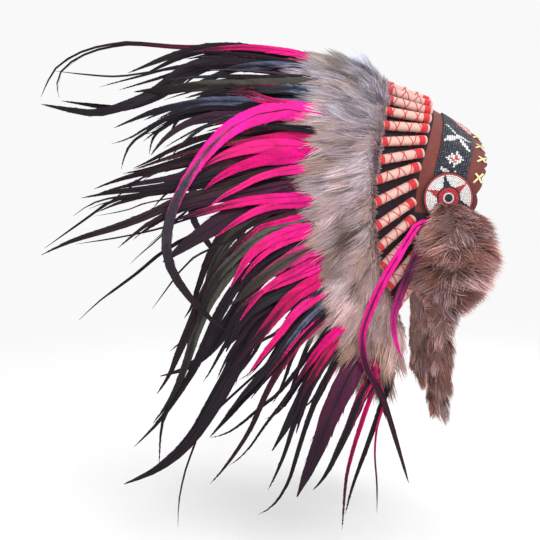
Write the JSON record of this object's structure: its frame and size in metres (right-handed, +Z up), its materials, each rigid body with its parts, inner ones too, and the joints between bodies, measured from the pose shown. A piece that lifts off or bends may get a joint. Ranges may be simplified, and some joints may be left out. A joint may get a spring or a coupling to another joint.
{
  "type": "feathered headdress",
  "caption": "Worn feathered headdress: a felt and suede head arch with beaded browband, rosettes, quill wraps, a fur ruff, swept-back feathers and hanging fur and feather drops.",
  "frame": {"origin": "the point on the inside of the head arch where the middle of the browband sits on the front of the head", "axes": "+Z up as worn, -Y towards the face side, +X towards the wearer's left"},
  "size_m": [0.4813, 0.5378, 0.5486],
  "materials": {
    "black_felt": "matte",
    "suede": "suede",
    "seed_beads": "glossy",
    "rosette_beads": "glossy",
    "wrap_cloth": "matte",
    "feather": "satin",
    "fur": "soft pile"
  },
  "bodies": {
    "root": {"felt_backing": "black_felt", "suede_band": "suede", "beaded_browband": "seed_beads", "rosette_right": "rosette_beads", "rosette_left": "rosette_beads", "quill_wrap_centre": "wrap_cloth", "quill_wrap_right_01": "wrap_cloth", "quill_wrap_right_02": "wrap_cloth", "quill_wrap_right_03": "wrap_cloth", "quill_wrap_right_04": "wrap_cloth", "quill_wrap_right_05": "wrap_cloth", "quill_wrap_right_06": "wrap_cloth", "quill_wrap_right_07": "wrap_cloth", "quill_wrap_right_08": "wrap_cloth", "quill_wrap_right_09": "wrap_cloth", "quill_wrap_right_10": "wrap_cloth", "quill_wrap_right_11": "wrap_cloth", "quill_wrap_right_12": "wrap_cloth", "quill_wrap_right_13": "wrap_cloth", "quill_wrap_left_01": "wrap_cloth", "quill_wrap_left_02": "wrap_cloth", "quill_wrap_left_03": "wrap_cloth", "quill_wrap_left_04": "wrap_cloth", "quill_wrap_left_05": "wrap_cloth", "quill_wrap_left_06": "wrap_cloth", "quill_wrap_left_07": "wrap_cloth", "quill_wrap_left_08": "wrap_cloth", "quill_wrap_left_09": "wrap_cloth", "quill_wrap_left_10": "wrap_cloth", "quill_wrap_left_11": "wrap_cloth", "quill_wrap_left_12": "wrap_cloth", "quill_wrap_left_13": "wrap_cloth", "feathers_centre": "feather", "feathers_right_1": "feather", "feathers_right_2": "feather", "feathers_right_3": "feather", "feathers_right_4": "feather", "feathers_right_5": "feather", "feathers_right_6": "feather", "feathers_right_7": "feather", "feathers_left_1": "feather", "feathers_left_2": "feather", "feathers_left_3": "feather", "feathers_left_4": "feather", "feathers_left_5": "feather", "feathers_left_6": "feather", "feathers_left_7": "feather", "fur_ruff": "fur", "fur_drop_right": "fur", "fur_drop_left": "fur", "feather_drop_right": "feather", "feather_drop_left": "feather"}
  },
  "joints": []
}
